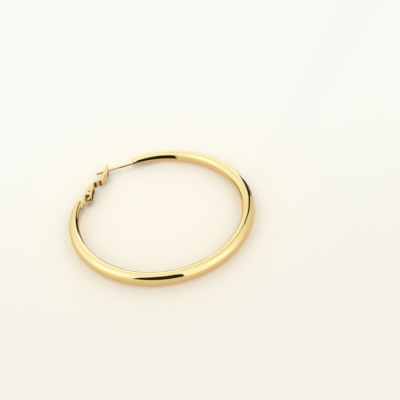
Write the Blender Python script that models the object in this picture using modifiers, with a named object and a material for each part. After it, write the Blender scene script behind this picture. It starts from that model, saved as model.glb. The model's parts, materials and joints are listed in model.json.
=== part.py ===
"""Hoop earring: a tapered round tube bent into a ring, closed by a straight post and a hinged clip lever.

The ring's axis is Z, its mouth faces +Y, the hinge end of the tube is at -X and the post end at +X.
Lengths are in metres. The finished earring lies on Z = 0, centred on the origin.
"""

import math

import bmesh
import bpy
from mathutils import Vector

MM = 0.001

# Ring sizes
RING_OUTER_DIAMETER = 50.0 * MM
TUBE_DIAMETER = 3.5 * MM
TUBE_END_DIAMETER = 2.0 * MM
TAPER_POWER = 4.4
MOUTH_WIDTH = 21.5 * MM
TUBE_SIDES_PER_QUARTER = 6
TUBE_RINGS = 84

# Rounded shoulder that closes the tube at the post end
SHOULDER_LENGTH = 1.1 * MM
END_CHAMFER = 0.16 * MM

# Post
POST_DIAMETER = 0.7 * MM
POST_INSET = 0.55 * MM
POST_ROOT = 1.6 * MM
POST_PAST_CLIP = 3.4 * MM
POST_TIP_CHAMFER = 0.14 * MM

# Hinge strap soldered to the inner side of the tube's other end
HINGE_REACH = 1.8 * MM
HINGE_DROP = 1.72 * MM
STRAP_LENGTH = 2.2 * MM
STRAP_THICKNESS = 0.34 * MM
STRAP_END_SETBACK = 0.4 * MM
KNUCKLE_DIAMETER = 1.9 * MM
KNUCKLE_GAP = 0.1 * MM
# Where the strap leaves the knuckle, turned from the tube's own direction
KNUCKLE_OUTER_TURN = math.radians(101)
KNUCKLE_INNER_TURN = math.radians(112)

# Hinge pin
PIN_DIAMETER = 0.8 * MM
PIN_CLEARANCE = 0.06 * MM
PIN_HEAD_DIAMETER = 1.4 * MM
PIN_HEAD_HEIGHT = 0.22 * MM

# Clip lever, pressed from one strip of sheet
LEVER_LENGTH = 14.6 * MM
LEVER_WIDTH = 2.2 * MM
LEVER_SHEET = 0.4 * MM
LEVER_ANGLE = math.radians(25.8)
HEEL_DIAMETER = 2.4 * MM
HEEL_UNDERSIDE_TURN = math.radians(302)
BACK_HEIGHT = 1.08 * MM
BELLY_DEPTH = 1.78 * MM
HEEL_WALL_DEPTH = 1.25 * MM
HEAD_WALL_DEPTH = 1.0 * MM
EDGE_SETBACK = 0.1 * MM
SLOT_CLEARANCE = 0.2 * MM
SLOT_END_CLEARANCE = 0.35 * MM
SLOT_PAST_POST = 0.7 * MM
# Where the post crosses the lever, as a share of its length
POST_CROSSING = 0.833

# The sheet's middle line: share of the lever's length, share of the back's height or the belly's depth
LEVER_LINE = (
    ("heel", 0.082, 1.00),
    ("back", 0.200, 1.00),
    ("brow", 0.325, 0.86),
    ("step", 0.400, 0.34),
    ("foot", 0.485, -0.60),
    ("belly", 0.580, -0.96),
    ("floor", 0.680, -1.00),
    ("post", POST_CROSSING, -0.64),
    ("flare", 0.930, -0.26),
    ("tip", 1.000, 0.04),
)
# Side walls by the hinge: share of the lever's length, share of the heel wall's depth
HEEL_WALL = (("end", 0.385, 0.58), ("waist", 0.290, 1.00), ("neck", 0.180, 1.24))
# Side walls of the head: share of the lever's length, share of the head wall's depth
HEAD_WALL = (("start", 0.468, 0.45), ("full", 0.600, 1.00), ("post", 0.750, 0.86), ("end", 0.925, 0.24))
# Outline of the head seen from above it: share of the lever's length, share of the sheet's half width
HEAD_PLAN = (("shoulder", 0.880, 1.00), ("arch", 0.945, 0.80), ("nose", 0.985, 0.46), ("tip", 1.010, 0.20))

# Domed shoulder: share of its length, where its small end is 1
SHOULDER_STEPS = (1.0, 0.8, 0.55, 0.28)
SHOULDER_NARROWING = 0.75
# Half of a rivet head's profile: share of the head's radius, share of its height
PIN_DOME = (("crown", 0.00, 1.00), ("brow", 0.55, 0.85), ("edge", 0.88, 0.50), ("rim", 1.00, 0.00))

STEPS_PER_SPAN = 4
ARC_STEP = math.radians(15)
SMOOTH_ANGLE = math.radians(30)
POST_SIDES_PER_QUARTER = 4
BORE_SIDES = 24
PIN_SIDES = 20
WELD_DISTANCE = 0.0001 * MM

# Colour and roughness
TUBE_FINISH = ((0.93, 0.70, 0.33), 0.08)
CLASP_FINISH = ((0.90, 0.67, 0.32), 0.14)


def remove_all_objects():
    for old in list(bpy.data.objects):
        bpy.data.objects.remove(old, do_unlink=True)


def new_collection(name):
    collection = bpy.data.collections.new(name)
    bpy.context.scene.collection.children.link(collection)
    return collection


def gold(name, colour, roughness):
    """A polished gold plating."""
    material = bpy.data.materials.new(name)
    material.use_nodes = True
    shader = material.node_tree.nodes["Principled BSDF"]
    shader.inputs["Base Color"].default_value = (*colour, 1.0)
    shader.inputs["Metallic"].default_value = 1.0
    shader.inputs["Roughness"].default_value = roughness
    return material


def link(collection, name, data, material=None):
    made = bpy.data.objects.new(name, data)
    collection.objects.link(made)
    if material:
        data.materials.append(material)
    return made


def mesh_of_curve(curve_object, name, collection, material=None):
    """The curve as a closed mesh, its loose caps welded on. The curve object is removed."""
    bpy.context.view_layer.update()
    graph = bpy.context.evaluated_depsgraph_get()
    mesh = bpy.data.meshes.new_from_object(curve_object.evaluated_get(graph))
    mesh.name = name
    mesh.materials.clear()
    body = bmesh.new()
    body.from_mesh(mesh)
    bmesh.ops.remove_doubles(body, verts=body.verts, dist=WELD_DISTANCE)
    bmesh.ops.recalc_face_normals(body, faces=body.faces)
    body.to_mesh(mesh)
    body.free()
    made = link(collection, name, mesh, material)
    made.matrix_world = curve_object.matrix_world
    bpy.data.objects.remove(curve_object, do_unlink=True)
    return made


def rod(name, stations, sides_per_quarter, collection, material=None):
    """A round rod with flat ends through (point, radius) stations."""
    curve = bpy.data.curves.new(name + "_line", "CURVE")
    curve.dimensions = "3D"
    curve.twist_mode = "Z_UP"
    curve.bevel_depth = 1.0 * MM
    curve.bevel_resolution = sides_per_quarter * 2 - 2
    curve.use_fill_caps = True
    spline = curve.splines.new("POLY")
    spline.points.add(len(stations) - 1)
    for point, (place, radius) in zip(spline.points, stations):
        point.co = (*place, 1.0)
        point.radius = radius / curve.bevel_depth
    return mesh_of_curve(link(collection, name + "_line", curve), name, collection, material)


def plate(name, outline, half_height, collection, material=None):
    """A flat plate in the XY plane, half_height to each side of it."""
    curve = bpy.data.curves.new(name + "_line", "CURVE")
    curve.dimensions = "2D"
    curve.fill_mode = "BOTH"
    curve.extrude = half_height
    spline = curve.splines.new("POLY")
    spline.points.add(len(outline) - 1)
    spline.use_cyclic_u = True
    for point, (x, y) in zip(spline.points, outline):
        point.co = (x, y, 0.0, 1.0)
    return mesh_of_curve(link(collection, name + "_line", curve), name, collection, material)


def hide_helper(helper):
    helper.hide_render = True
    helper.display_type = "WIRE"
    return helper


def boolean(target, other, operation):
    modifier = target.modifiers.new(operation.lower() + "_" + other.name, "BOOLEAN")
    modifier.operation = operation
    modifier.object = other
    modifier.solver = "EXACT"


def round_cutter(name, radius, half_height, collection):
    bpy.ops.mesh.primitive_cylinder_add(vertices=BORE_SIDES, radius=radius, depth=2 * half_height)
    cutter = bpy.context.object
    cutter.name = name
    for old in list(cutter.users_collection):
        old.objects.unlink(cutter)
    collection.objects.link(cutter)
    return hide_helper(cutter)


def smooth_through(points):
    """Points on a smooth curve through the given ones, evenly shared between them."""
    ends = [points[0] * 2 - points[1], *points, points[-1] * 2 - points[-2]]
    found = []
    for i in range(1, len(ends) - 2):
        a, b, c, d = ends[i - 1 : i + 3]
        for k in range(STEPS_PER_SPAN):
            t = k / STEPS_PER_SPAN
            found.append(
                0.5 * (2 * b + (c - a) * t + (2 * a - 5 * b + 4 * c - d) * t**2 + (3 * b - a - 3 * c + d) * t**3)
            )
    return [*found, points[-1]]


def arc(centre, radius, start, end):
    """Points on an arc from angle start to angle end, both included."""
    count = max(2, round(abs(end - start) / ARC_STEP))
    turns = [start + (end - start) * i / count for i in range(count + 1)]
    return [centre + radius * Vector((math.cos(a), math.sin(a))) for a in turns]


def stretch_of(line, start, end):
    """The line's points from one distance along X to another, both ends included."""
    return [point for point in line if start - WELD_DISTANCE <= point.x <= end + WELD_DISTANCE]


def height_on(line, along):
    """The line's height at a distance along X."""
    for a, b in zip(line, line[1:]):
        if a.x <= along <= b.x:
            return a.y + (b.y - a.y) * (along - a.x) / (b.x - a.x)
    return line[0].y if along < line[0].x else line[-1].y


# Places on the ring
RING_RADIUS = (RING_OUTER_DIAMETER - TUBE_DIAMETER) / 2
MOUTH_HALF_ANGLE = math.asin(MOUTH_WIDTH / 2 / RING_RADIUS)
POST_END_ANGLE = math.pi / 2 - MOUTH_HALF_ANGLE
HINGE_END_ANGLE = math.pi / 2 + MOUTH_HALF_ANGLE


def outward(angle):
    return Vector((math.cos(angle), math.sin(angle)))


def onward(angle):
    """The tube's direction at an angle, towards larger angles."""
    return Vector((-math.sin(angle), math.cos(angle)))


def tube_radius(angle):
    """The tube narrows from the side opposite the mouth to its two ends."""
    from_far_side = abs(math.remainder(angle + math.pi / 2, 2 * math.pi))
    share = from_far_side / (math.pi - MOUTH_HALF_ANGLE)
    return (TUBE_DIAMETER - (TUBE_DIAMETER - TUBE_END_DIAMETER) * min(share, 1.0) ** TAPER_POWER) / 2


HINGE = (
    outward(HINGE_END_ANGLE) * (RING_RADIUS - HINGE_DROP) - onward(HINGE_END_ANGLE) * HINGE_REACH
)


def lever_place(point):
    """A point of the lever's own XY plane, in the ring's."""
    along, across = outward(LEVER_ANGLE), onward(LEVER_ANGLE)
    return HINGE + along * point.x + across * point.y


LEVER_MIDDLE = smooth_through(
    [
        Vector((share * LEVER_LENGTH, rise * (BACK_HEIGHT if rise > 0 else BELLY_DEPTH)))
        for _, share, rise in LEVER_LINE
    ]
)
CROSSING = Vector((POST_CROSSING * LEVER_LENGTH, height_on(LEVER_MIDDLE, POST_CROSSING * LEVER_LENGTH)))
POST_START = (
    outward(POST_END_ANGLE) * (RING_RADIUS - POST_INSET) + onward(POST_END_ANGLE) * SHOULDER_LENGTH
)
POST_DIRECTION = (lever_place(CROSSING) - POST_START).normalized()
POST_TIP = lever_place(CROSSING) + POST_DIRECTION * POST_PAST_CLIP


def tube_stations():
    """The tapered tube from its post end, round the far side, to its hinge end."""
    start, end = POST_END_ANGLE, HINGE_END_ANGLE - 2 * math.pi
    chamfer = END_CHAMFER / RING_RADIUS
    turns = [start + (end + chamfer - start) * i / TUBE_RINGS for i in range(TUBE_RINGS + 1)]
    stations = [(outward(a) * RING_RADIUS, tube_radius(a)) for a in turns]
    stations.append((outward(end) * RING_RADIUS, tube_radius(end) - END_CHAMFER))
    return stations


def shoulder_stations():
    """The domed shoulder, from its small end by the post to the tube's end."""
    stations = []
    for share in SHOULDER_STEPS:
        narrow = math.sqrt(1 - share**2 * SHOULDER_NARROWING)
        place = outward(POST_END_ANGLE) * (RING_RADIUS - POST_INSET * share**2)
        stations.append((place + onward(POST_END_ANGLE) * SHOULDER_LENGTH * share, TUBE_END_DIAMETER / 2 * narrow))
    return stations


def flat(stations):
    return [((place.x, place.y, 0.0), radius) for place, radius in stations]


def make_post(collection):
    root = POST_START - POST_DIRECTION * POST_ROOT
    neck = POST_TIP - POST_DIRECTION * POST_TIP_CHAMFER
    radius = POST_DIAMETER / 2
    stations = [(root, radius), (neck, radius), (POST_TIP, radius - POST_TIP_CHAMFER)]
    return rod("post", flat(stations), POST_SIDES_PER_QUARTER, collection)


def make_hinge_strap(collection):
    """A strap along the tube's inner side, ending in the hinge knuckle."""
    near = HINGE_END_ANGLE + STRAP_END_SETBACK / RING_RADIUS
    far = HINGE_END_ANGLE + STRAP_LENGTH / RING_RADIUS
    inside_tube = [outward(a) * (RING_RADIUS - tube_radius(a) / 2) for a in (far, near)]
    under_tube = [outward(a) * (RING_RADIUS - tube_radius(a) - STRAP_THICKNESS) for a in (near, far)]
    mouthwards = HINGE_END_ANGLE - math.pi / 2
    knuckle = arc(
        HINGE, KNUCKLE_DIAMETER / 2, mouthwards + KNUCKLE_OUTER_TURN, mouthwards - KNUCKLE_INNER_TURN
    )
    outline = [*inside_tube, *knuckle, *under_tube]
    return plate("hinge_strap", outline, LEVER_WIDTH / 2 - LEVER_SHEET - KNUCKLE_GAP, collection)


def make_hoop(parts, helpers, material):
    """Tube, shoulder, post and hinge strap, soldered into one."""
    hoop = rod(
        "hoop", flat(shoulder_stations() + tube_stations()), TUBE_SIDES_PER_QUARTER, parts, material
    )
    for piece in (make_post(helpers), make_hinge_strap(helpers)):
        boolean(hoop, hide_helper(piece), "UNION")
    bore = round_cutter("knuckle_bore", PIN_DIAMETER / 2 + PIN_CLEARANCE, LEVER_WIDTH, helpers)
    bore.location = (HINGE.x, HINGE.y, 0.0)
    boolean(hoop, bore, "DIFFERENCE")
    return hoop


def make_hinge_pin(parts, material):
    """A rivet: a turned shaft with a low domed head over each side wall of the lever."""
    shaft, head = PIN_DIAMETER / 2, PIN_HEAD_DIAMETER / 2
    under = LEVER_WIDTH / 2 + PIN_CLEARANCE
    upper = [(head * across, under + PIN_HEAD_HEIGHT * rise) for _, across, rise in PIN_DOME]
    upper.append((shaft, under))
    profile = upper + [(x, -z) for x, z in reversed(upper)]
    mesh = bpy.data.meshes.new("hinge_pin")
    body = bmesh.new()
    points = [body.verts.new((x, 0.0, z)) for x, z in profile]
    for a, b in zip(points, points[1:]):
        body.edges.new((a, b))
    body.to_mesh(mesh)
    body.free()
    pin = link(parts, "hinge_pin", mesh, material)
    turn = pin.modifiers.new("turn", "SCREW")
    turn.steps = turn.render_steps = PIN_SIDES
    turn.use_merge_vertices = True
    turn.merge_threshold = WELD_DISTANCE
    pin.location = (HINGE.x, HINGE.y, 0.0)
    return pin


def slot_ends():
    """Where the slot starts and ends along the lever, so that the post clears it all the way open."""
    nearest = (POST_TIP - HINGE).length - POST_DIAMETER / 2 - SLOT_END_CLEARANCE
    return nearest, CROSSING.x + POST_DIAMETER / 2 + SLOT_PAST_POST


def lever_sheet_outline():
    """The bent sheet seen along the hinge: its middle line, half a sheet to each side."""
    sides = [[], []]
    for i, point in enumerate(LEVER_MIDDLE):
        before, after = LEVER_MIDDLE[max(i - 1, 0)], LEVER_MIDDLE[min(i + 1, len(LEVER_MIDDLE) - 1)]
        run = (after - before).normalized()
        across = Vector((-run.y, run.x)) * LEVER_SHEET / 2
        sides[0].append(point + across)
        sides[1].append(point - across)
    return sides[0] + sides[1][::-1]


def lever_plan_outline():
    """The sheet seen from outside: parallel sides and an arched tip."""
    half = LEVER_WIDTH / 2 - EDGE_SETBACK
    side = [Vector((0.0, half))]
    side += smooth_through([Vector((share * LEVER_LENGTH, width * half)) for _, share, width in HEAD_PLAN])
    return side + [Vector((p.x, -p.y)) for p in reversed(side)]


def slot_outline():
    start, end = slot_ends()
    radius = POST_DIAMETER / 2 + SLOT_CLEARANCE
    head, foot = Vector((end - radius, 0.0)), Vector((start + radius, 0.0))
    return arc(head, radius, -math.pi / 2, math.pi / 2) + arc(foot, radius, math.pi / 2, math.pi * 1.5)


def heel_wall_outline():
    """One side wall by the hinge, with the round heel that turns on the pin."""
    radius = HEEL_DIAMETER / 2
    first, last = LEVER_LINE[0][1] * LEVER_LENGTH, HEEL_WALL[0][1] * LEVER_LENGTH
    back = stretch_of(LEVER_MIDDLE, first, last)
    inner = [
        Vector((share * LEVER_LENGTH, BACK_HEIGHT - depth * HEEL_WALL_DEPTH)) for _, share, depth in HEEL_WALL
    ]
    heel = arc(Vector((0.0, 0.0)), radius, HEEL_UNDERSIDE_TURN, math.atan2(back[0].y, back[0].x))
    return [*back, *inner, *heel[:-1]]


def head_wall_outline():
    """One side wall of the dished head, standing outwards from its floor."""
    shares = [row[1] for row in HEAD_WALL]
    floor = stretch_of(LEVER_MIDDLE, shares[0] * LEVER_LENGTH, shares[-1] * LEVER_LENGTH)
    rim = smooth_through(
        [
            Vector((s * LEVER_LENGTH, height_on(LEVER_MIDDLE, s * LEVER_LENGTH) + d * HEAD_WALL_DEPTH))
            for _, s, d in HEAD_WALL
        ]
    )
    return floor + rim[::-1]


def make_clip_lever(parts, helpers, material):
    """A bent sheet trimmed to its plan, with two pairs of side walls, pierced for the post and the pin."""
    lever = plate("clip_lever", lever_sheet_outline(), LEVER_WIDTH, parts, material)
    plan = plate("lever_plan", lever_plan_outline(), BACK_HEIGHT + BELLY_DEPTH + LEVER_SHEET, helpers)
    slot = plate("post_slot", slot_outline(), BACK_HEIGHT + BELLY_DEPTH + LEVER_SHEET, helpers)
    pieces = []
    for side in (-1, 1):
        for name, outline in (("heel_wall", heel_wall_outline()), ("head_wall", head_wall_outline())):
            wall = plate(f"{name}_{side + 1}", outline, LEVER_SHEET / 2, helpers)
            wall.location = (0.0, 0.0, side * (LEVER_WIDTH - LEVER_SHEET) / 2)
            pieces.append(wall)
    bore = round_cutter("lever_bore", PIN_DIAMETER / 2 + PIN_CLEARANCE, LEVER_WIDTH, helpers)
    for helper in (plan, slot):
        helper.rotation_euler = (math.pi / 2, 0.0, 0.0)
    for helper in (plan, slot, *pieces, bore):
        hide_helper(helper).parent = lever
    boolean(lever, plan, "INTERSECT")
    boolean(lever, slot, "DIFFERENCE")
    for wall in pieces:
        boolean(lever, wall, "UNION")
    boolean(lever, bore, "DIFFERENCE")
    lever.location = (HINGE.x, HINGE.y, 0.0)
    lever.rotation_euler = (0.0, 0.0, LEVER_ANGLE)
    return lever


def smooth_round_faces(pieces):
    for piece in pieces:
        piece.data.shade_smooth()
        piece.data.set_sharp_from_angle(angle=SMOOTH_ANGLE)


def world_box(pieces):
    bpy.context.view_layer.update()
    graph = bpy.context.evaluated_depsgraph_get()
    places = []
    for piece in pieces:
        shown = piece.evaluated_get(graph)
        mesh = shown.to_mesh()
        places += [shown.matrix_world @ vertex.co for vertex in mesh.vertices]
        shown.to_mesh_clear()
    return Vector(map(min, *places)), Vector(map(max, *places))


def lay_down(pieces, helpers, collection):
    """Everything hangs on one empty at the ring's centre, set so that the earring lies centred on Z = 0."""
    centre = link(collection, "ring_centre", None)
    hinge = link(collection, "lever_hinge_axis", None)
    hinge.location = (HINGE.x, HINGE.y, 0.0)
    hinge.parent = centre
    low, high = world_box(pieces)
    for piece in [*pieces, *helpers]:
        if piece.parent is None:
            piece.parent = centre
    centre.location = (-(low.x + high.x) / 2, -(low.y + high.y) / 2, -low.z)


def main():
    remove_all_objects()
    parts, cutters = new_collection("hoop_earring"), new_collection("helpers")
    tube_gold = gold("polished_gold", *TUBE_FINISH)
    clasp_gold = gold("clasp_gold", *CLASP_FINISH)
    pieces = [
        make_hoop(parts, cutters, tube_gold),
        make_hinge_pin(parts, clasp_gold),
        make_clip_lever(parts, cutters, clasp_gold),
    ]
    smooth_round_faces(pieces)
    lay_down(pieces, list(cutters.objects), parts)


main()
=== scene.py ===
# %% [markdown]
# # A polished hoop earring, lying on its side
#
# This lesson dresses a jeweller's model of one hoop earring: a tapered round tube bent into a ring, a
# straight ear post, and a small clip lever that turns on a rivet and closes over the post.
# The model arrives as a fixed frame. Every size below is read from it or named beside its piece.

# %% Load the frame
import json
import math

import bpy
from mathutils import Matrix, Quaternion, Vector


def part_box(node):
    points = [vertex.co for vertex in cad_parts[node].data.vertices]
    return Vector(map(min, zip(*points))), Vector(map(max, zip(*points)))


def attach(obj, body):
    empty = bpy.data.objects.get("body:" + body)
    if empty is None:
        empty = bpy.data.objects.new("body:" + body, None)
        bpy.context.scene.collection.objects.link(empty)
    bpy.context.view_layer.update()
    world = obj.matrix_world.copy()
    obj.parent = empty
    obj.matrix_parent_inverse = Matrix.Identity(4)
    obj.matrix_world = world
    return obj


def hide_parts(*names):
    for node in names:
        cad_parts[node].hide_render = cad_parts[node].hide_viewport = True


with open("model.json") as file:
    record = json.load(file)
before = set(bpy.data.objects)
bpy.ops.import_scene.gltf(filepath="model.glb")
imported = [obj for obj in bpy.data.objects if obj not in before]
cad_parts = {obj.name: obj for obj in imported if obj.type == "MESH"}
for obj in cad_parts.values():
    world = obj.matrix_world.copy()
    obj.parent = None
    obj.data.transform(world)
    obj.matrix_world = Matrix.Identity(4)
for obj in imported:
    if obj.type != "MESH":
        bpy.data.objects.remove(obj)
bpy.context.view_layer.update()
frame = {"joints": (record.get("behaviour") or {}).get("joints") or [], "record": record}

ring_body, lever_body = "ring", "lever"

# %% [markdown]
# ## Where things are
#
# The hoop lies on Z = 0, and the thickest part of its tube touches the floor, so the tube's middle line is
# half that thickness above it. The ring's centre is found from the node's box: the hoop's lowest Y is the
# side opposite the mouth. The hinge comes from the joint. The post's tip and direction come from the mount.

# %% Measure the ring, the hinge and the post
MM = 0.001
RING_OUTER_RADIUS = 25.0 * MM
hoop_low, hoop_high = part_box("hoop")
TUBE_RADIUS = (hoop_high.z - hoop_low.z) / 2
RING_RADIUS = RING_OUTER_RADIUS - TUBE_RADIUS
ring_centre = Vector(((hoop_low.x + hoop_high.x) / 2, hoop_low.y + RING_OUTER_RADIUS, TUBE_RADIUS))
hinge = Vector(frame["joints"][0]["pos_m"])
post_tip = Vector(frame["record"]["mounts"][0]["pos_m"])
post_direction = Vector(frame["record"]["mounts"][0]["axis"]).normalized()
print("ring centre", ring_centre, "tube radius", round(TUBE_RADIUS / MM, 3), "mm")

# %% [markdown]
# ## The camera
#
# A long lens looks down at the hoop from the side opposite its clasp, from about four hoops away.
# It is aimed a little beside the ring's centre, and rolled a few degrees, as a hand-held camera is.

# %% Set the camera
CAMERA_AZIMUTH = math.radians(-128.93)
CAMERA_ELEVATION = math.radians(43.77)
CAMERA_DISTANCE = 209.5 * MM
CAMERA_AIM = Vector((9.86 * MM, -5.21 * MM, 0.0))
CAMERA_ROLL = math.radians(-7.26)
CAMERA_LENS = 70.65


def direction(azimuth, elevation):
    flat = math.cos(elevation)
    return Vector((flat * math.cos(azimuth), flat * math.sin(azimuth), math.sin(elevation)))


eye = ring_centre + direction(CAMERA_AZIMUTH, CAMERA_ELEVATION) * CAMERA_DISTANCE
bpy.ops.object.camera_add(location=eye)
camera = bpy.context.object
camera.name = "camera"
camera.data.lens = CAMERA_LENS
camera.data.sensor_width = 36.0
camera.data.clip_start = 1.0 * MM
camera.data.dof.use_dof = False
look = (ring_centre + CAMERA_AIM - eye).to_track_quat("-Z", "Y") @ Quaternion((0, 0, 1), CAMERA_ROLL)
camera.rotation_euler = look.to_euler()
bpy.context.scene.camera = camera
print("camera at", [round(v / MM, 1) for v in eye], "mm")

# %% [markdown]
# ## The floor
#
# A sheet of smooth cream card fills the view and runs far past it. It isn't part of the earring, so it is
# staged. It is a little brighter away from the camera, where the tent lights it more squarely, and warmer
# round the hoop, because polished gold throws warm light on the card beside it. Close to the tube that light
# is strong enough to fill the tube's own shadow. Tracing it would take very many samples, so the card glows
# a little there instead. The glow follows the ring and fades before the mouth, where there is no tube.
#
# Node trees are written the same way all through the lesson: node_of makes a node and sets it, and connect
# takes pairs of sockets, each an output and the input that it feeds.

# %% Lay the floor
FLOOR_SIZE = 3.0
FLOOR_NEAR = (0.715, 0.61, 0.48, 1.0)
FLOOR_FAR = (0.76, 0.66, 0.53, 1.0)
FLOOR_SPAN = 110 * MM
FLOOR_ROUGHNESS, FLOOR_SHINE = 0.8, 0.2
WARM_TINT = (1.055, 1.02, 0.955, 1.0)
WARM_REACH, WARM_FADE = 20 * MM, 52 * MM
NO_LIGHT = (0.0, 0.0, 0.0, 1.0)
THROWN_LIGHT = (0.25, 0.195, 0.125, 1.0)
THROWN_FULL, THROWN_FADE = 0.6 * MM, 2.9 * MM
THROWN_TO_MOUTH, THROWN_GONE = 14.5 * MM, 20.0 * MM


def node_of(tree, kind, **settings):
    """A node with its settings and socket values, given by name with spaces as underscores."""
    made = tree.nodes.new(kind)
    for setting, value in settings.items():
        if hasattr(made, setting):
            setattr(made, setting, value)
        else:
            made.inputs[setting.replace("_", " ")].default_value = value
    return made


def math_node(tree, operation, *values, kind="ShaderNodeMath"):
    """A math node. The values set its sockets from the second one on."""
    made = node_of(tree, kind, operation=operation)
    for index, value in enumerate(values, start=1):
        made.inputs[index].default_value = value
    return made


def soft_step(tree, start, end, at_start, at_end):
    """A value that goes softly from one amount to another."""
    step = node_of(tree, "ShaderNodeMapRange", interpolation_type="SMOOTHSTEP")
    for socket, value in (("From Min", start), ("From Max", end), ("To Min", at_start), ("To Max", at_end)):
        step.inputs[socket].default_value = value
    return step


def connect(tree, *pairs):
    for output, socket in pairs:
        tree.links.new(output, socket)


bpy.ops.mesh.primitive_plane_add(size=FLOOR_SIZE, location=(0.0, 0.0, 0.0))
floor = bpy.context.object
floor.name = "floor"
floor_card = bpy.data.materials.new("cream_card")
floor_card.use_nodes = True
tree = floor_card.node_tree
shader = tree.nodes["Principled BSDF"]
shader.inputs["Roughness"].default_value = FLOOR_ROUGHNESS
shader.inputs["Specular IOR Level"].default_value = FLOOR_SHINE
shader.inputs["Emission Strength"].default_value = 1.0
coordinates = node_of(tree, "ShaderNodeTexCoord")
along_view = math_node(tree, "DOT_PRODUCT", -direction(CAMERA_AZIMUTH, 0.0), kind="ShaderNodeVectorMath")
across_floor = soft_step(tree, -FLOOR_SPAN / 2, FLOOR_SPAN / 2, 0.0, 1.0)
cream = node_of(tree, "ShaderNodeMix", data_type="RGBA", A=FLOOR_NEAR, B=FLOOR_FAR)
floor_centre = (ring_centre.x, ring_centre.y, 0.0)
from_centre = math_node(tree, "DISTANCE", floor_centre, kind="ShaderNodeVectorMath")
near_gold = soft_step(tree, WARM_REACH, WARM_FADE, 1.0, 0.0)
warm_cream = node_of(tree, "ShaderNodeMix", data_type="RGBA", blend_type="MULTIPLY", B=WARM_TINT)
past_tube = math_node(tree, "SUBTRACT", RING_RADIUS)
either_side = math_node(tree, "ABSOLUTE")
beside_tube = soft_step(tree, THROWN_FULL, THROWN_FADE, 1.0, 0.0)
each_axis = node_of(tree, "ShaderNodeSeparateXYZ")
mouth_start, mouth_full = ring_centre.y + THROWN_TO_MOUTH, ring_centre.y + THROWN_GONE
before_mouth = soft_step(tree, mouth_start, mouth_full, 1.0, 0.0)
where_thrown = math_node(tree, "MULTIPLY")
glow = node_of(tree, "ShaderNodeMix", data_type="RGBA", A=NO_LIGHT, B=THROWN_LIGHT)
connect(
    tree,
    (coordinates.outputs["Object"], along_view.inputs[0]),
    (along_view.outputs["Value"], across_floor.inputs["Value"]),
    (across_floor.outputs["Result"], cream.inputs["Factor"]),
    (coordinates.outputs["Object"], from_centre.inputs[0]),
    (from_centre.outputs["Value"], near_gold.inputs["Value"]),
    (near_gold.outputs["Result"], warm_cream.inputs["Factor"]),
    (cream.outputs["Result"], warm_cream.inputs["A"]),
    (warm_cream.outputs["Result"], shader.inputs["Base Color"]),
    (from_centre.outputs["Value"], past_tube.inputs[0]),
    (past_tube.outputs["Value"], either_side.inputs[0]),
    (either_side.outputs["Value"], beside_tube.inputs["Value"]),
    (coordinates.outputs["Object"], each_axis.inputs["Vector"]),
    (each_axis.outputs["Y"], before_mouth.inputs["Value"]),
    (beside_tube.outputs["Result"], where_thrown.inputs[0]),
    (before_mouth.outputs["Result"], where_thrown.inputs[1]),
    (where_thrown.outputs["Value"], glow.inputs["Factor"]),
    (glow.outputs["Result"], shader.inputs["Emission Color"]),
)
floor.data.materials.append(floor_card)
print("floor", FLOOR_SIZE, "m wide,", len(tree.nodes), "nodes in its card")

# %% [markdown]
# ## The light
#
# Polished gold shows nothing but its surroundings, so the surroundings are the light. They are a white tent
# all round, a little brighter where its panels face the lamps and duller near the table.
# The tent is the world: each panel or lamp is a soft round patch, added to an even white.
# The lamps are cooler than the room, so the brighter a patch is, the cooler its white.

# %% Hang the light tent
TENT_EVEN = 1.17
# Name, azimuth, elevation, how far the patch is full and where it ends (degrees), and what it adds
TENT_PATCHES = (
    ("right_panel", -78, 46, 10, 58, 0.32),
    ("right_lamp", -60, 50, 4, 18, 0.28),
    ("back_panel", 42, 10, 10, 38, 0.50),
    ("left_panel", 128, 56, 12, 52, 0.32),
    ("left_lamp", 136, 54, 4, 18, 0.28),
    ("right_dull", -14, 18, 8, 40, -0.18),
    ("front_dull", -148, 2, 10, 50, -0.12),
    ("table_dull", 0, -90, 90, 115, -0.16),
)
# Brightness, and the red and the blue that go with it, as shares of the green
TENT_WHITES = (
    (0.80, 1.06, 0.92),
    (1.00, 1.02, 0.95),
    (1.12, 0.96, 1.01),
    (1.24, 0.92, 1.08),
    (1.38, 0.87, 1.15),
    (1.65, 0.79, 1.35),
)
# A colour ramp holds nothing over 1, so both its place and its colours are scaled
BRIGHTEST, BLUEST = 2.0, 1.5

world = bpy.data.worlds.new("light_tent")
bpy.context.scene.world = world
world.use_nodes = True
tree = world.node_tree
background = tree.nodes["Background"]
facing_way = node_of(tree, "ShaderNodeTexCoord").outputs["Generated"]
total = None
for name, azimuth, elevation, full, end, amount in TENT_PATCHES:
    middle = direction(math.radians(azimuth), math.radians(elevation))
    closeness = math_node(tree, "DOT_PRODUCT", middle, kind="ShaderNodeVectorMath")
    patch = soft_step(tree, math.cos(math.radians(end)), math.cos(math.radians(full)), 0.0, amount)
    patch.label = name
    add = math_node(tree, "ADD", TENT_EVEN)
    connect(
        tree,
        (facing_way, closeness.inputs[0]),
        (closeness.outputs["Value"], patch.inputs["Value"]),
        (patch.outputs["Result"], add.inputs[0]),
    )
    if total:
        connect(tree, (total, add.inputs[1]))
    total = add.outputs["Value"]
ramp = node_of(tree, "ShaderNodeValToRGB")
stops = ramp.color_ramp.elements
while len(stops) < len(TENT_WHITES):
    stops.new(0.5)
for stop, (brightness, red, blue) in zip(stops, TENT_WHITES):
    stop.position = brightness / BRIGHTEST
    stop.color = (red / BLUEST, 1 / BLUEST, blue / BLUEST, 1.0)
share_of_brightest = math_node(tree, "DIVIDE", BRIGHTEST)
strength = math_node(tree, "MULTIPLY", BLUEST)
connect(
    tree,
    (total, share_of_brightest.inputs[0]),
    (share_of_brightest.outputs["Value"], ramp.inputs["Fac"]),
    (ramp.outputs["Color"], background.inputs["Color"]),
    (total, strength.inputs[0]),
    (strength.outputs["Value"], background.inputs["Strength"]),
)
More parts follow.
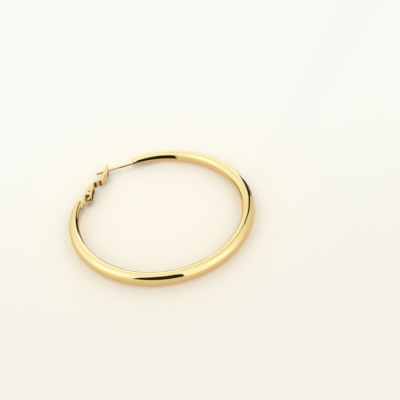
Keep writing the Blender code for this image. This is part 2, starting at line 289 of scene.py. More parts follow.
bpy.context.scene.view_settings.view_transform = "Standard"

# %% Add the lamp over the table
LAMP_HEIGHT = 1.2
LAMP_WIDTH = 0.9
LAMP_WATTS = 1.0

bpy.ops.object.light_add(type="AREA", location=(0.0, 0.0, LAMP_HEIGHT))
lamp = bpy.context.object
lamp.name = "table_lamp"
lamp.data.size = LAMP_WIDTH
lamp.data.energy = LAMP_WATTS
lamp.visible_glossy = False
print(len(TENT_PATCHES), "patches in the tent, and a lamp of", LAMP_WATTS, "W")

# %% [markdown]
# ## Cards
#
# In an all-white tent gold looks like flat paint. Photographers add black cards, whose reflections draw the
# form. One stands over the lens and leaves the crisp dark bar along the front of the tube.
# Far behind on the right, a gap between the tent's panels draws the long dark lines at both sides of the
# ring, and two black strips on the floor carry those lines down round the tube.
# A small upright card beside the post end draws the dark line there.
# All of them are seen only in reflections: the camera and the soft light pass through them.

# %% Stand the cards
FAR = 1.45
# Name, then the corners as the ring's centre sees them: azimuth, elevation (degrees) and distance (m)
FAR_CARDS = (
    ("gap_upright", ((4, -1, FAR), (21, -1, FAR), (21, 38, FAR), (9, 38, FAR))),
    ("gap_corner", ((9, 38, FAR), (21.5, 37, FAR), (33, 44.5, FAR), (16, 45, FAR))),
    ("gap_bend", ((16, 45, FAR), (33, 44.5, FAR), (50, 46, FAR), (50, 47.5, FAR), (24, 48, FAR))),
    ("gap_seam", ((2, 46.8, FAR), (24, 46.8, FAR), (24, 47.6, FAR), (2, 47.6, FAR))),
)
# The same for the card over the lens, as the front of the tube sees it
LENS_CARD = (
    "lens_card",
    (
        (-115, 18, 0.21),
        (-106, 66, 0.12),
        (-94, 82, 0.08),
        (155, 81, 0.10),
        (168, 68, 0.12),
        (-176, 33, 0.21),
    ),
)
FRONT_OF_TUBE = math.radians(-136)
CARD_GLOW = (0.030, 0.018, 0.002)
# Cards at the ring: angle on the ring (degrees), distance inwards and height (mm)
NEAR_CARDS = (
    ("post_end_card", ((77, 2.8, 0.0), (33, 3.9, 0.0), (36, 3.9, 4.8), (77, 2.8, 4.0))),
    ("gap_on_floor", ((-34, -6, 0.02), (7, -130, 0.02), (14, -130, 0.02), (-17, -6, 0.02))),
    ("gap_in_ring", ((144.5, 5.3, 0.02), (100, 6.0, 0.02), (102, 3.9, 0.02), (140, 3.9, 0.02))),
)


def card_colour(name, glow):
    """A card that looks the same however it is lit."""
    made = bpy.data.materials.new(name)
    made.use_nodes = True
    shader = made.node_tree.nodes["Principled BSDF"]
    shader.inputs["Base Color"].default_value = (0.0, 0.0, 0.0, 1.0)
    shader.inputs["Specular IOR Level"].default_value = 0.0
    shader.inputs["Emission Color"].default_value = (*glow, 1.0)
    shader.inputs["Emission Strength"].default_value = 1.0
    return made


card_black = card_colour("card_black", CARD_GLOW)


def stand_card(name, corners):
    """A card with straight edges that only reflections see."""
    bpy.ops.mesh.primitive_circle_add(vertices=len(corners), radius=1.0, fill_type="NGON")
    card = bpy.context.object
    card.name = name
    for point, corner in zip(card.data.vertices, corners):
        point.co = corner
    card.data.materials.append(card_black)
    card.visible_camera = False
    card.visible_diffuse = False
    card.visible_shadow = False


for name, corners in (*FAR_CARDS, LENS_CARD):
    seen_from = ring_centre.copy()
    if name == "lens_card":
        seen_from += direction(FRONT_OF_TUBE, 0.0) * RING_RADIUS
    spots = []
    for azimuth, elevation, distance in corners:
        spots.append(seen_from + direction(math.radians(azimuth), math.radians(elevation)) * distance)
    stand_card(name, spots)
for name, corners in NEAR_CARDS:
    spots = []
    for turn, inwards, height in corners:
        from_axis = direction(math.radians(turn), 0.0) * (RING_RADIUS - inwards * MM)
        spots.append(Vector((ring_centre.x, ring_centre.y, height * MM)) + from_axis)
    stand_card(name, spots)
print(len(FAR_CARDS) + 1, "far cards and", len(NEAR_CARDS), "near ones")

# %% [markdown]
# ## Polished gold
#
# The hoop is gold that was polished by hand on a buffing wheel. It is a mirror, but never an even one: the
# wheel leaves long shallow waves and hair-thin lines, and fingers leave a slight bloom.
# All three are one shared effect, and each material says how strong they are on its pieces.

# %% Make the buffed surface, a shared effect
WAVE_SIZE, WAVE_DEPTH = 2.6 * MM, 0.02 * MM
HAIRLINE_SIZE, HAIRLINE_DEPTH = 0.05 * MM, 0.0008 * MM
HAIRLINE_STRETCH = 14.0
BLOOM_SIZE = 6.5 * MM
BLOOM_START, BLOOM_FULL = 0.45, 0.75
CLEAN_ROUGHNESS, BLOOM_ROUGHNESS = 0.035, 0.14

buffed = bpy.data.node_groups.new("buffed_surface", "ShaderNodeTree")
for socket in ("Wave Height", "Hairline Depth", "Bloom"):
    made = buffed.interface.new_socket(name=socket, in_out="INPUT", socket_type="NodeSocketFloat")
    made.min_value, made.max_value = 0.0, 1.0
buffed.interface.new_socket(name="Roughness", in_out="OUTPUT", socket_type="NodeSocketFloat")
buffed.interface.new_socket(name="Normal", in_out="OUTPUT", socket_type="NodeSocketVector")
entry, leave = node_of(buffed, "NodeGroupInput"), node_of(buffed, "NodeGroupOutput")
coordinates = node_of(buffed, "ShaderNodeTexCoord")
stretch = node_of(buffed, "ShaderNodeMapping", Scale=(1.0, 1.0, HAIRLINE_STRETCH))
waves = node_of(buffed, "ShaderNodeTexNoise", Scale=1 / WAVE_SIZE, Detail=1.0)
hairlines = node_of(buffed, "ShaderNodeTexNoise", Scale=1 / (HAIRLINE_SIZE * HAIRLINE_STRETCH), Detail=2.0)
fingers = node_of(buffed, "ShaderNodeTexNoise", Scale=1 / BLOOM_SIZE, Detail=4.0, Roughness=0.6)
wave_bump = node_of(buffed, "ShaderNodeBump", Distance=WAVE_DEPTH)
line_bump = node_of(buffed, "ShaderNodeBump", Distance=HAIRLINE_DEPTH)
smeared = node_of(buffed, "ShaderNodeMapRange", From_Min=BLOOM_START, From_Max=BLOOM_FULL)
smeared.inputs["To Min"].default_value = CLEAN_ROUGHNESS
smeared.inputs["To Max"].default_value = BLOOM_ROUGHNESS
eased = node_of(buffed, "ShaderNodeMix", A=CLEAN_ROUGHNESS)
connect(
    buffed,
    (coordinates.outputs["Object"], waves.inputs["Vector"]),
    (coordinates.outputs["Object"], fingers.inputs["Vector"]),
    (coordinates.outputs["Object"], stretch.inputs["Vector"]),
    (stretch.outputs["Vector"], hairlines.inputs["Vector"]),
    (waves.outputs["Fac"], wave_bump.inputs["Height"]),
    (entry.outputs["Wave Height"], wave_bump.inputs["Strength"]),
    (hairlines.outputs["Fac"], line_bump.inputs["Height"]),
    (entry.outputs["Hairline Depth"], line_bump.inputs["Strength"]),
    (wave_bump.outputs["Normal"], line_bump.inputs["Normal"]),
    (line_bump.outputs["Normal"], leave.inputs["Normal"]),
    (fingers.outputs["Fac"], smeared.inputs["Value"]),
    (entry.outputs["Bloom"], eased.inputs["Factor"]),
    (smeared.outputs["Result"], eased.inputs["B"]),
    (eased.outputs["Result"], leave.inputs["Roughness"]),
)
print("buffed surface with", len(buffed.nodes), "nodes")

# %% Mix the hoop's gold
GOLD = (0.78, 0.58, 0.26, 1.0)


def buffed_gold(name, waves, hairlines, bloom):
    """A gold material with the buffed surface at the given strengths."""
    made = bpy.data.materials.new(name)
    made.use_nodes = True
    tree = made.node_tree
    shader = tree.nodes["Principled BSDF"]
    shader.inputs["Base Color"].default_value = GOLD
    shader.inputs["Metallic"].default_value = 1.0
    effect = node_of(tree, "ShaderNodeGroup", name="buffed", node_tree=buffed)
    for socket, value in (("Wave Height", waves), ("Hairline Depth", hairlines), ("Bloom", bloom)):
        effect.inputs[socket].default_value = value
    connect(
        tree,
        (effect.outputs["Roughness"], shader.inputs["Roughness"]),
        (effect.outputs["Normal"], shader.inputs["Normal"]),
    )
    return made


gold = buffed_gold("polished_gold", waves=0.35, hairlines=0.5, bloom=0.5)
print("mixed", gold.name)

# %% [markdown]
# ## The tube
#
# A jeweller draws a round tube down to a taper, bends it into a ring and closes its ends.
# Here a circle stands across the ring at the hinge end and is spun about the ring's axis to the post end.
# Every ring of points is then drawn in towards the tube's middle line, so the tube tapers.

# %% Spin the tube and taper it
MOUTH_WIDTH = 21.5 * MM
TUBE_END_RADIUS = 1.0 * MM
TAPER_POWER = 4.4
TUBE_SIDES = 72
TUBE_STEPS = 420
END_ROUNDING = 0.16 * MM

mouth_half_angle = math.asin(MOUTH_WIDTH / 2 / RING_RADIUS)
post_end = math.pi / 2 - mouth_half_angle
hinge_end = math.pi / 2 + mouth_half_angle


def outward(angle):
    """From the ring's centre, in the ring's plane."""
    return Vector((math.cos(angle), math.sin(angle), 0.0))


def onward(angle):
    """Along the tube, towards larger angles."""
    return Vector((-math.sin(angle), math.cos(angle), 0.0))


def on_ring(angle):
    return ring_centre + outward(angle) * RING_RADIUS


def tube_radius(angle):
    """The tube is full opposite the mouth and narrows towards both ends."""
    share = abs(math.remainder(angle + math.pi / 2, 2 * math.pi)) / (math.pi - mouth_half_angle)
    return TUBE_RADIUS - (TUBE_RADIUS - TUBE_END_RADIUS) * min(share, 1.0) ** TAPER_POWER


first = hinge_end + END_ROUNDING / RING_RADIUS
bpy.ops.object.select_all(action="DESELECT")
bpy.ops.mesh.primitive_circle_add(
    vertices=TUBE_SIDES, radius=TUBE_RADIUS, location=on_ring(first), rotation=(math.pi / 2, 0.0, first)
)
tube = bpy.context.object
tube.name = "hoop_tube"
bpy.ops.object.transform_apply(location=True, rotation=True, scale=True)
bpy.ops.object.mode_set(mode="EDIT")
bpy.ops.mesh.select_all(action="SELECT")
way_round = post_end + 2 * math.pi - first
bpy.ops.mesh.spin(steps=TUBE_STEPS, angle=way_round, center=ring_centre, axis=(0, 0, -1))
bpy.ops.object.mode_set(mode="OBJECT")
for point in tube.data.vertices:
    angle = math.atan2(point.co.y - ring_centre.y, point.co.x - ring_centre.x)
    middle = on_ring(angle)
    point.co = middle + (point.co - middle) * (tube_radius(angle) / TUBE_RADIUS)
end_thickness = round(2 * tube_radius(first) / MM, 2)
print("tube", len(tube.data.vertices), "points,", end_thickness, "mm thick at its ends")

# %% [markdown]
# ## The domed shoulder and the post
#
# At the post end the tube closes in a soft dome, and a straight wire is soldered into it.
# The last circle of the tube is pulled out ring by ring: it shrinks over the dome, hollows a little where
# the solder has run, then goes straight out as the wire and rounds over at the tip. So tube, solder and wire
# are one closed skin, as soldered metal is.

# %% Draw out the shoulder and the post
SHOULDER_LENGTH = 1.1 * MM
SHOULDER_DROP = 0.55 * MM
SHOULDER_RINGS = 14
DOME_CLOSING = 0.75
ON_CIRCLE = 0.001 * MM
SMOOTH_TUBE = math.radians(40)
POST_RADIUS = 0.35 * MM
# Distance along the post and radius, in mm: the solder's hollow
SOLDER_HOLLOW = ((0.05, 0.455), (0.11, 0.415), (0.19, 0.385), (0.30, 0.362), (0.45, 0.35))
TIP_ROUNDING = 0.14 * MM
TIP_RINGS = 6


def deselect_parts(mesh):
    for parts in (mesh.vertices, mesh.edges, mesh.polygons):
        for part in parts:
            part.select = False


def select_ring(mesh, angle):
    """Only the circle of points that stands across the ring at an angle."""
    deselect_parts(mesh)
    for point in mesh.vertices:
        offset = point.co - ring_centre
        point.select = abs(offset.dot(onward(angle))) < ON_CIRCLE and offset.dot(outward(angle)) > 0


def next_ring(shift, centre, ratio):
    """Pull the selected circle out by a shift and scale it about its new centre."""
    bpy.ops.mesh.extrude_region_move(TRANSFORM_OT_translate={"value": shift})
    bpy.ops.transform.resize(value=(ratio, ratio, ratio), center_override=centre)


bpy.context.tool_settings.mesh_select_mode = (True, False, False)
select_ring(tube.data, post_end)
bpy.ops.object.mode_set(mode="EDIT")
centre, radius = on_ring(post_end), tube_radius(post_end)
for i in range(1, SHOULDER_RINGS + 1):
    share = math.sin(math.pi / 2 * i / SHOULDER_RINGS)
    place = on_ring(post_end) + onward(post_end) * SHOULDER_LENGTH * share
    place -= outward(post_end) * SHOULDER_DROP * share**2
    wanted = TUBE_END_RADIUS * math.sqrt(1 - DOME_CLOSING * share**2)
    next_ring(place - centre, place, wanted / radius)
    centre, radius = place, wanted
root = centre
for along, wanted in SOLDER_HOLLOW:
    place = root + post_direction * along * MM
    next_ring(place - centre, place, wanted * MM / radius)
    centre, radius = place, wanted * MM
neck = post_tip - post_direction * TIP_ROUNDING
next_ring(neck - centre, neck, 1.0)
centre = neck
for i in range(1, TIP_RINGS + 1):
    turn = math.pi / 2 * i / TIP_RINGS
    place = neck + post_direction * TIP_ROUNDING * math.sin(turn)
    wanted = POST_RADIUS - TIP_ROUNDING * (1 - math.cos(turn))
    next_ring(place - centre, place, wanted / radius)
    centre, radius = place, wanted
bpy.ops.mesh.edge_face_add()
bpy.ops.object.mode_set(mode="OBJECT")
print("post", round((post_tip - root).length / MM, 2), "mm long")

# %% [markdown]
# ## The plugged end
#
# The hinge end is closed flat, and the polishing wheel has rounded its edge. The first circle of the tube is
# drawn in over a quarter circle by the same helper, and the last ring is filled with one face.

# %% Close the hinge end
END_RINGS = 6
select_ring(tube.data, first)
bpy.ops.object.mode_set(mode="EDIT")
centre, radius = on_ring(first), tube_radius(first)
for i in range(1, END_RINGS + 1):
    turn = math.pi / 2 * i / END_RINGS
    place = on_ring(first) - onward(hinge_end) * END_ROUNDING * math.sin(turn)
    wanted = tube_radius(first) - END_ROUNDING * (1 - math.cos(turn))
    next_ring(place - centre, place, wanted / radius)
    centre, radius = place, wanted
bpy.ops.mesh.edge_face_add()
bpy.ops.mesh.select_all(action="SELECT")
bpy.ops.mesh.normals_make_consistent(inside=False)
bpy.ops.object.mode_set(mode="OBJECT")
bpy.ops.object.shade_smooth_by_angle(angle=SMOOTH_TUBE)
tube.data.materials.append(gold)
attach(tube, ring_body)
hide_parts("hoop")
print("tube with post", len(tube.data.polygons), "faces")

# %% [markdown]
# ## Plates
#
# The hinge strap and the lever's side walls are all cut from sheet, so they are made the same way.
# A circle's points are set on the piece's outline, the face is pulled up into a plate, and both its rims are
# inset in small steps that follow a quarter circle, which rounds them as tumbling rounds pressed metal.
# The same plate, made long, is the punch that cuts the lever's slot.

# %% A plate from its outline
RIM_STEPS = 4
ARC_STEP = math.radians(6)
SAME_POINT = 0.0001 * MM
SMOOTH_SHEET = math.radians(35)


def merge_points():
    """In edit mode: everything is selected, and points that meet become one."""
    bpy.ops.mesh.select_all(action="SELECT")
    bpy.ops.mesh.remove_doubles(threshold=SAME_POINT)


def face_outwards():
    """Leaves edit mode with every face turned outwards."""
    bpy.ops.mesh.normals_make_consistent(inside=False)
    bpy.ops.object.mode_set(mode="OBJECT")


def round_rim(radius):
    """Inset the selected face in steps, so that its rim is a quarter circle."""
    gone, risen = 0.0, 0.0
    for i in range(1, RIM_STEPS + 1):
        turn = math.pi / 2 * i / RIM_STEPS
        inward, up = radius * (1 - math.cos(turn)), radius * math.sin(turn)
        bpy.ops.mesh.inset(thickness=inward - gone, depth=up - risen, use_even_offset=True)
        gone, risen = inward, up


def plate(name, outline, low, high, rounding):
    """A plate between two heights, with rounded rims. The outline runs anticlockwise."""
    bpy.ops.object.select_all(action="DESELECT")
    bpy.ops.mesh.primitive_circle_add(vertices=len(outline), radius=MM, fill_type="NGON")
    made = bpy.context.object
    made.name = name
    for point, (x, y) in zip(made.data.vertices, outline):
        point.co = (x, y, low + rounding)
    bpy.ops.object.mode_set(mode="EDIT")
    bpy.context.tool_settings.mesh_select_mode = (False, False, True)
    bpy.ops.mesh.select_all(action="SELECT")
    bpy.ops.mesh.duplicate()
    bpy.ops.mesh.flip_normals()
    round_rim(rounding)
    bpy.ops.mesh.select_all(action="DESELECT")
    bpy.ops.object.mode_set(mode="OBJECT")
    made.data.polygons[0].select = True
    bpy.ops.object.mode_set(mode="EDIT")
    bpy.ops.mesh.extrude_region_move(TRANSFORM_OT_translate={"value": (0.0, 0.0, high - low - 2 * rounding)})
    round_rim(rounding)
    merge_points()
    face_outwards()
    bpy.ops.object.shade_smooth_by_angle(angle=SMOOTH_SHEET)
    return made


def arc(middle, radius, start, end, step=ARC_STEP):
    """Points on an arc from angle start to angle end, both included."""
    count = max(2, round(abs(end - start) / step))
    turns = [start + (end - start) * i / count for i in range(count + 1)]
    return [Vector((middle.x + radius * math.cos(a), middle.y + radius * math.sin(a))) for a in turns]


# %% [markdown]
# ## The hinge strap
#
# A flat strap is soldered along the inner side of the tube's hinge end. Its end is rolled into the knuckle
# that the lever turns on. Seen from above it is one outline, so it is one plate: it starts inside the tube,
# where the solder holds it, and goes round the knuckle as an arc.

# %% Cut the strap and its knuckle
LEVER_WIDTH = 2.2 * MM
LEVER_SHEET = 0.4 * MM
KNUCKLE_RADIUS = 0.95 * MM
KNUCKLE_GAP = 0.1 * MM
KNUCKLE_TURNS = (math.radians(101), math.radians(-112))
STRAP_LENGTH = 2.2 * MM
STRAP_THICKNESS = 0.34 * MM
STRAP_SETBACK = 0.4 * MM
STRAP_ROUNDING = 0.09 * MM
STRAP_STATIONS = 9

near, far = hinge_end + STRAP_SETBACK / RING_RADIUS, hinge_end + STRAP_LENGTH / RING_RADIUS
along_strap = [near + (far - near) * i / (STRAP_STATIONS - 1) for i in range(STRAP_STATIONS)]
strap_top = [outward(a) * (RING_RADIUS - tube_radius(a) / 2) for a in reversed(along_strap)]
strap_under = [outward(a) * (RING_RADIUS - tube_radius(a) - STRAP_THICKNESS) for a in along_strap]
mouthwards = hinge_end - math.pi / 2
knuckle_start, knuckle_end = (mouthwards + turn for turn in KNUCKLE_TURNS)
knuckle = arc(hinge - ring_centre, KNUCKLE_RADIUS, knuckle_start, knuckle_end)
strap_half = LEVER_WIDTH / 2 - LEVER_SHEET - KNUCKLE_GAP
strap_outline = [(v.x, v.y) for v in (*strap_top, *knuckle, *strap_under)][::-1]
strap = plate("hinge_strap", strap_outline, -strap_half, strap_half, STRAP_ROUNDING)
strap.location = ring_centre
bpy.ops.object.transform_apply(location=True, rotation=True, scale=True)
strap.data.materials.append(gold)
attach(strap, ring_body)
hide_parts("hoop")
print("hinge strap", len(strap.data.polygons), "faces")

# %% [markdown]
# ## The clasp's gold
#
# The lever and its rivet are too small for the buffing wheel. They are tumbled, so their faces wave more.
# Shade is painted dark into their colour where it falls: in the channel, in the two creases of the step, at
# the heel, in the dimple of the side wall and on the rivet's heads. The painted shade is also made duller
# than gold.
# Each spot is an ellipsoid placed along the closed lever, whose frame the Mapping node works out, and noise
# makes its edge ragged.

# %% Mix the clasp's gold with its painted shade
LEVER_ANGLE = math.radians(25.8)
# The dark brown of the painted shade in the channel, creases, heel, dimple and on the rivet heads
PAINTED_SHADE = (0.055, 0.026, 0.006, 1.0)
# Painted shade spots: name, middle (mm: along the lever, out from the ring, across), half sizes, and how dark
PAINTED_SHADE_SPOTS = (
    ("channel", (3.3, -0.1, 0.0), (3.0, 1.02, 0.80), 0.90),
    ("upper_crease", (5.75, 0.05, 0.0), (0.30, 0.34, 1.35), 0.96),
    ("lower_crease", (6.75, -1.05, 0.0), (0.30, 0.34, 1.35), 0.96),
    ("upper_head", (0.0, 0.0, 1.38), (0.95, 0.95, 0.28), 0.94),
    ("lower_head", (0.0, 0.0, -1.38), (0.95, 0.95, 0.28), 0.94),
    ("heel_edge", (-0.95, -0.05, 1.1), (0.62, 0.36, 0.22), 0.85),
    ("wall_dimple", (2.0, 0.3, 1.0), (0.36, 0.32, 0.14), 0.90),
)
SHADE_RAGGED = 0.22 * MM
SHADE_GRAIN = 0.35 * MM
SHADE_DULLNESS = 0.22
SPOT_FULL, SPOT_END = 0.80, 1.15

clasp_gold = buffed_gold("clasp_gold", waves=0.8, hairlines=0.8, bloom=0.8)
tree = clasp_gold.node_tree
shader, effect = tree.nodes["Principled BSDF"], tree.nodes["buffed"]
coordinates = node_of(tree, "ShaderNodeTexCoord")
on_lever = node_of(tree, "ShaderNodeMapping", vector_type="TEXTURE", Location=hinge)
on_lever.inputs["Rotation"].default_value = (0.0, 0.0, LEVER_ANGLE)
ragged = node_of(tree, "ShaderNodeTexNoise", Scale=1 / SHADE_GRAIN, Detail=3.0)
shifted = math_node(tree, "MULTIPLY_ADD", (SHADE_RAGGED,) * 3, kind="ShaderNodeVectorMath")
centred = math_node(tree, "SUBTRACT", (SHADE_RAGGED / 2,) * 3, kind="ShaderNodeVectorMath")
connect(
    tree,
    (coordinates.outputs["Object"], on_lever.inputs["Vector"]),
    (coordinates.outputs["Object"], ragged.inputs["Vector"]),
    (ragged.outputs["Color"], shifted.inputs[0]),
    (on_lever.outputs["Vector"], shifted.inputs[2]),
    (shifted.outputs["Vector"], centred.inputs[0]),
)
painted_shade = None
for name, middle, half, darkness in PAINTED_SHADE_SPOTS:
    from_middle = math_node(tree, "SUBTRACT", Vector(middle) * MM, kind="ShaderNodeVectorMath")
    in_halves = math_node(tree, "DIVIDE", Vector(half) * MM, kind="ShaderNodeVectorMath")
    away = math_node(tree, "LENGTH", kind="ShaderNodeVectorMath")
    spot = soft_step(tree, SPOT_FULL, SPOT_END, darkness, 0.0)
    spot.label = name
    connect(
        tree,
        (centred.outputs["Vector"], from_middle.inputs[0]),
        (from_middle.outputs["Vector"], in_halves.inputs[0]),
        (in_halves.outputs["Vector"], away.inputs[0]),
        (away.outputs["Value"], spot.inputs["Value"]),
    )
    if painted_shade:
        darker = math_node(tree, "MAXIMUM")
        connect(tree, (painted_shade, darker.inputs[0]), (spot.outputs["Result"], darker.inputs[1]))
        painted_shade = darker.outputs["Value"]
    else:
        painted_shade = spot.outputs["Result"]
# Painted shade: inside the spots the gold turns dark brown, and rougher
shaded_gold = node_of(tree, "ShaderNodeMix", data_type="RGBA", A=GOLD, B=PAINTED_SHADE)
dull = math_node(tree, "MULTIPLY_ADD", SHADE_DULLNESS)
connect(
    tree,
    (painted_shade, shaded_gold.inputs["Factor"]),
    (shaded_gold.outputs["Result"], shader.inputs["Base Color"]),
    (painted_shade, dull.inputs[0]),
    (effect.outputs["Roughness"], dull.inputs[2]),
    (dull.outputs["Value"], shader.inputs["Roughness"]),
)
print(clasp_gold.name, "with", len(PAINTED_SHADE_SPOTS), "dark spots")

# %% [markdown]
# ## The rivet
#
# The lever turns on a rivet, whose ends are hammered over into low domes. It is one cylinder: each cap is
# widened into the flat underside of a head and then drawn in ring by ring over a quarter ellipse.

# %% Turn the rivet
PIN_RADIUS = 0.4 * MM
HEAD_RADIUS = 0.7 * MM
HEAD_HEIGHT = 0.22 * MM
PIN_CLEARANCE = 0.06 * MM
PIN_SIDES = 48
HEAD_RINGS = 8
under_head = LEVER_WIDTH / 2 + PIN_CLEARANCE

bpy.ops.object.select_all(action="DESELECT")
bpy.ops.mesh.primitive_cylinder_add(
    vertices=PIN_SIDES, radius=PIN_RADIUS, depth=2 * under_head, location=hinge
)
rivet = bpy.context.object
rivet.name = "rivet"
bpy.ops.object.transform_apply(location=True, rotation=True, scale=True)
for side in (-1, 1):
    deselect_parts(rivet.data)
    cap = max(rivet.data.polygons, key=lambda face: side * face.center.z)
    cap.select = True
    bpy.ops.object.mode_set(mode="EDIT")
    next_ring((0, 0, 0), hinge + Vector((0, 0, side * under_head)), HEAD_RADIUS / PIN_RADIUS)
    radius, risen = HEAD_RADIUS, 0.0
    for i in range(1, HEAD_RINGS):
        turn = math.pi / 2 * i / HEAD_RINGS
        wanted, up = HEAD_RADIUS * math.cos(turn), HEAD_HEIGHT * math.sin(turn)
        place = hinge + Vector((0, 0, side * (under_head + up)))
        next_ring((0, 0, side * (up - risen)), place, wanted / radius)
        radius, risen = wanted, up
    bpy.ops.object.mode_set(mode="OBJECT")
bpy.ops.object.mode_set(mode="EDIT")
merge_points()
face_outwards()
bpy.ops.object.shade_smooth_by_angle(angle=SMOOTH_SHEET)
rivet.data.materials.append(clasp_gold)
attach(rivet, ring_body)
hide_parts("hinge_pin")
print("rivet", len(rivet.data.polygons), "faces")

# %% [markdown]
# ## The lever's line
#
# The clip lever is one strip of sheet. It runs flat over the hinge, steps down towards the ring, dips into
# the belly that the post passes through, and flares out at the tip, where a fingernail opens it.
# Its middle line is drawn in the lever's own plane, with the hinge at the origin: ten named points that a
# ruler would find, and a smooth curve through them.

# %% Draw the lever's middle line
LEVER_LENGTH = 14.6 * MM
BACK_HEIGHT = 1.08 * MM
BELLY_DEPTH = 1.78 * MM
# Name, share of the length, and share of the back's height or of the belly's depth
LEVER_LINE = (
    ("heel", 0.082, 1.00),
    ("back", 0.200, 1.00),
    ("brow", 0.325, 0.86),
    ("step", 0.400, 0.34),
    ("foot", 0.485, -0.60),
    ("belly", 0.580, -0.96),
    ("floor", 0.680, -1.00),
    ("post", 0.833, -0.64),
    ("flare", 0.930, -0.26),
    ("tip", 1.000, 0.04),
)
LINE_STEPS = 12


def smooth_through(points):
    """A smooth curve through the given points, with the same number of steps on each stretch."""
    ends = [points[0] * 2 - points[1], *points, points[-1] * 2 - points[-2]]
    found = []
    for i in range(1, len(ends) - 2):
        a, b, c, d = ends[i - 1 : i + 3]
        for t in (k / LINE_STEPS for k in range(LINE_STEPS)):
            cubic = (3 * b - a - 3 * c + d) * t**3 + (2 * a - 5 * b + 4 * c - d) * t**2 + (c - a) * t
            found.append(b + 0.5 * cubic)
    return [*found, points[-1]]


line_points = []
for _, share, rise in LEVER_LINE:
    full_rise = BACK_HEIGHT if rise > 0 else BELLY_DEPTH
    line_points.append(Vector((share * LEVER_LENGTH, rise * full_rise)))
lever_line = smooth_through(line_points)


def value_at(line, along, past_end):
    """The second coordinate of a line of points at a first coordinate."""
    for a, b in zip(line, line[1:]):
        if a.x <= along <= b.x:
            return a.y + (b.y - a.y) * (along - a.x) / (b.x - a.x)
    return past_end


def run_at(index):
    """The direction of the lever's line at one of its points."""
    before, after = max(index - 1, 0), min(index + 1, len(lever_line) - 1)
    return (lever_line[after] - lever_line[before]).normalized()


def beside(run):
    """A quarter turn from a direction, outwards."""
    return Vector((-run.y, run.x))


def beside_line(offset, start, end):
    """The middle line moved sideways by an offset, from one share of the length to another."""
    start_x, end_x = start * LEVER_LENGTH - ON_CIRCLE, end * LEVER_LENGTH + ON_CIRCLE
    inside = [i for i, point in enumerate(lever_line) if start_x <= point.x <= end_x]
    return [lever_line[i] + beside(run_at(i)) * offset for i in inside]


def finish_lever_piece(piece):
    """From the lever's own plane onto the hinge."""
    piece.location = hinge
    piece.rotation_euler = (0.0, 0.0, LEVER_ANGLE)
    bpy.ops.object.transform_apply(location=True, rotation=True, scale=True)
    piece.data.materials.append(clasp_gold)
    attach(piece, lever_body)
    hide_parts("clip_lever")


print(len(lever_line), "points on the lever's line")

# %% [markdown]
# ## The lever's sheet
#
# A grid is wrapped round the middle line: each row is a station along the lever and goes round the strip's
# section, a rectangle with round corners. So the width can change along the way, and the head narrows to an
# arched tip.

# %% Bend the lever's sheet
SHEET_ROUNDING = 0.16 * MM
SHEET_HALF_WIDTH = 1.09 * MM
THIN_ROUNDING = 0.8
CORNER_POINTS = 6
FACE_POINTS = 8
# The head's outline on its broad side: name, share of the length, share of the sheet's half width
HEAD_PLAN = (("shoulder", 0.880, 1.00), ("arch", 0.945, 0.80), ("nose", 0.985, 0.46), ("tip", 1.010, 0.20))
# How far out on the rounded end each of its stations stands, as shares of the rounding
END_SHARES = (0.55, 0.8, 0.94)

plan_line = smooth_through([Vector((share * LEVER_LENGTH, width)) for _, share, width in HEAD_PLAN])


def strip_section(half, thick):
    """Points (across, out) round a rectangle with round corners."""
    round_by = min(SHEET_ROUNDING, THIN_ROUNDING * thick)
    points = []
    for corner, (side, top) in enumerate(((1, 1), (-1, 1), (-1, -1), (1, -1))):
        middle = Vector((side * (half - round_by), top * (thick - round_by)))
        start, end = corner * math.pi / 2, (corner + 1) * math.pi / 2
        points += arc(middle, round_by, start, end, math.pi / 2 / (CORNER_POINTS - 1))
        starts_wide_face = side == top
        if starts_wide_face:
            here = Vector((side * (half - round_by), top * thick))
            ahead = Vector((-side * (half - round_by), top * thick))
            points += [here + (ahead - here) * k / FACE_POINTS for k in range(1, FACE_POINTS)]
    return points


stations = []
for i, point in enumerate(lever_line):
    half = SHEET_HALF_WIDTH * value_at(plan_line, point.x, 1.0)
    stations.append((point, run_at(i), half, LEVER_SHEET / 2))
for end, way in ((0, -1), (-1, 1)):
    point, run, half, thick = stations[end]
    for share in END_SHARES:
        shrink = SHEET_ROUNDING * (1 - math.cos(math.asin(share)))
        cap = (point + run * way * SHEET_ROUNDING * share, run, half - shrink, thick - shrink)
        stations.insert(0 if way < 0 else len(stations), cap)

section_size = len(strip_section(SHEET_HALF_WIDTH, LEVER_SHEET / 2))
bpy.ops.object.select_all(action="DESELECT")
bpy.ops.mesh.primitive_grid_add(x_subdivisions=section_size, y_subdivisions=len(stations) - 1, size=MM)
sheet = bpy.context.object
sheet.name = "lever_sheet"
for i, (point, run, half, thick) in enumerate(stations):
    section = strip_section(half, thick)
    for j in range(section_size + 1):
        across, out = section[j % section_size]
        place = point + beside(run) * out
        sheet.data.vertices[i * (section_size + 1) + j].co = (place.x, place.y, across)
bpy.ops.object.mode_set(mode="EDIT")
merge_points()
bpy.ops.mesh.fill_holes(sides=0)
face_outwards()
print("sheet", len(sheet.data.polygons), "faces,", section_size, "points round it")

# %% [markdown]
# ## The slot
#
# The post passes through a slot with round ends, punched in the floor of the head. The slot is longer than
# the post is thick, because the post moves along it while the lever swings. It is cut by a Boolean, since its
# outline runs across the sheet's faces and not along their edges.

# %% Punch the slot
def cut_away(piece, cutter):
    """Cut one mesh out of another and throw the cutter away."""
    bpy.ops.object.select_all(action="DESELECT")
    bpy.context.view_layer.objects.active = piece
    piece.select_set(True)
    cut = piece.modifiers.new("cut", "BOOLEAN")
    cut.operation = "DIFFERENCE"
    cut.object = cutter
    cut.solver = "EXACT"
    bpy.ops.object.modifier_apply(modifier="cut")
    bpy.data.objects.remove(cutter, do_unlink=True)


SLOT_SPARE_IN, SLOT_SPARE_OUT, SLOT_SPARE_SIDE = 0.35 * MM, 0.7 * MM, 0.2 * MM
PUNCH_HALF_LENGTH, PUNCH_ROUNDING = 4 * MM, 0.05 * MM

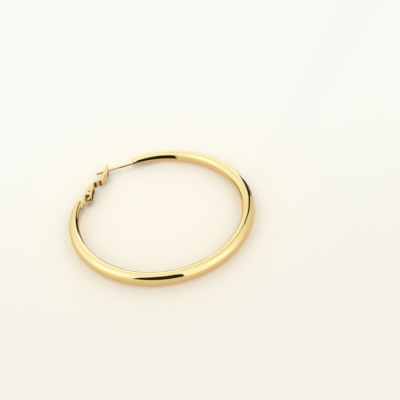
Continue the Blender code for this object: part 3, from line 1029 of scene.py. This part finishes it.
post_share = dict((name, share) for name, share, _ in LEVER_LINE)["post"]
slot_start = (post_tip - hinge).length - POST_RADIUS - SLOT_SPARE_IN
slot_end = post_share * LEVER_LENGTH + POST_RADIUS + SLOT_SPARE_OUT
slot_radius = POST_RADIUS + SLOT_SPARE_SIDE
slot_outline = arc(Vector((slot_end - slot_radius, 0)), slot_radius, -math.pi / 2, math.pi / 2)
slot_outline += arc(Vector((slot_start + slot_radius, 0)), slot_radius, math.pi / 2, math.pi * 1.5)
punch = plate("punch", slot_outline, -PUNCH_HALF_LENGTH, PUNCH_HALF_LENGTH, PUNCH_ROUNDING)
punch.rotation_euler = (math.pi / 2, 0.0, 0.0)
bpy.ops.object.transform_apply(location=True, rotation=True, scale=True)
cut_away(sheet, punch)
bpy.ops.object.shade_smooth_by_angle(angle=SMOOTH_SHEET)
finish_lever_piece(sheet)
print("sheet with its slot", len(sheet.data.polygons), "faces")

# %% [markdown]
# ## The side walls
#
# The strip's edges are folded: inwards by the hinge, where they hold the rivet in a round heel, and outwards
# round the head, which makes it a small dish. Each wall is a plate, set a hair inside the sheet's face, so
# that no two faces lie in one plane. The press leaves one small dimple in the upper wall by the hinge.

# %% Fold the side walls
HEEL_RADIUS = 1.2 * MM
HEEL_UNDERSIDE_TURN = math.radians(302)
HEEL_WALL_DEPTH = 1.25 * MM
HEAD_WALL_DEPTH = 1.0 * MM
WALL_ROUNDING = 0.1 * MM
WALL_SINK = 0.006 * MM
# Name, share of the length, share of the wall's depth
HEEL_WALL = (("end", 0.385, 0.58), ("waist", 0.290, 1.00), ("neck", 0.180, 1.24))
HEAD_WALL = (("start", 0.468, 0.45), ("full", 0.600, 1.00), ("post", 0.750, 0.86), ("end", 0.925, 0.24))
DIMPLE_PLACE = Vector((2.0, 0.3)) * MM
DIMPLE_RADIUS, DIMPLE_DEPTH = 0.34 * MM, 0.16 * MM
DIMPLE_SIDES, DIMPLE_RINGS = 32, 16

flush = LEVER_SHEET / 2 - WALL_SINK
heel_back = beside_line(flush, LEVER_LINE[0][1], HEEL_WALL[0][1])
heel_low = [Vector((s * LEVER_LENGTH, BACK_HEIGHT - d * HEEL_WALL_DEPTH)) for _, s, d in HEEL_WALL]
heel_top_turn = math.atan2(heel_back[0].y, heel_back[0].x)
heel_round = arc(Vector((0, 0)), HEEL_RADIUS, HEEL_UNDERSIDE_TURN, heel_top_turn)
heel_outline = [*heel_back, *smooth_through(heel_low), *heel_round[:-1]][::-1]

head_floor = beside_line(-flush, HEAD_WALL[0][1], HEAD_WALL[-1][1])
rim_points = []
for _, share, depth in HEAD_WALL:
    along = share * LEVER_LENGTH
    rim_points.append(Vector((along, value_at(lever_line, along, 0.0) + depth * HEAD_WALL_DEPTH)))
head_rim = smooth_through(rim_points)
head_outline = head_floor + head_rim[::-1]

for side, side_name in ((-1, "lower"), (1, "upper")):
    faces = sorted((side * LEVER_WIDTH / 2, side * (LEVER_WIDTH / 2 - LEVER_SHEET)))
    for wall_name, outline in (("heel_wall", heel_outline), ("head_wall", head_outline)):
        wall = plate(f"{wall_name}_{side_name}", outline, *faces, WALL_ROUNDING)
        if wall_name == "heel_wall" and side_name == "upper":
            ball_height = LEVER_WIDTH / 2 - DIMPLE_DEPTH + DIMPLE_RADIUS
            bpy.ops.mesh.primitive_uv_sphere_add(
                segments=DIMPLE_SIDES,
                ring_count=DIMPLE_RINGS,
                radius=DIMPLE_RADIUS,
                location=(*DIMPLE_PLACE, ball_height),
            )
            cut_away(wall, bpy.context.object)
            bpy.ops.object.shade_smooth_by_angle(angle=SMOOTH_SHEET)
        finish_lever_piece(wall)
print("four side walls")
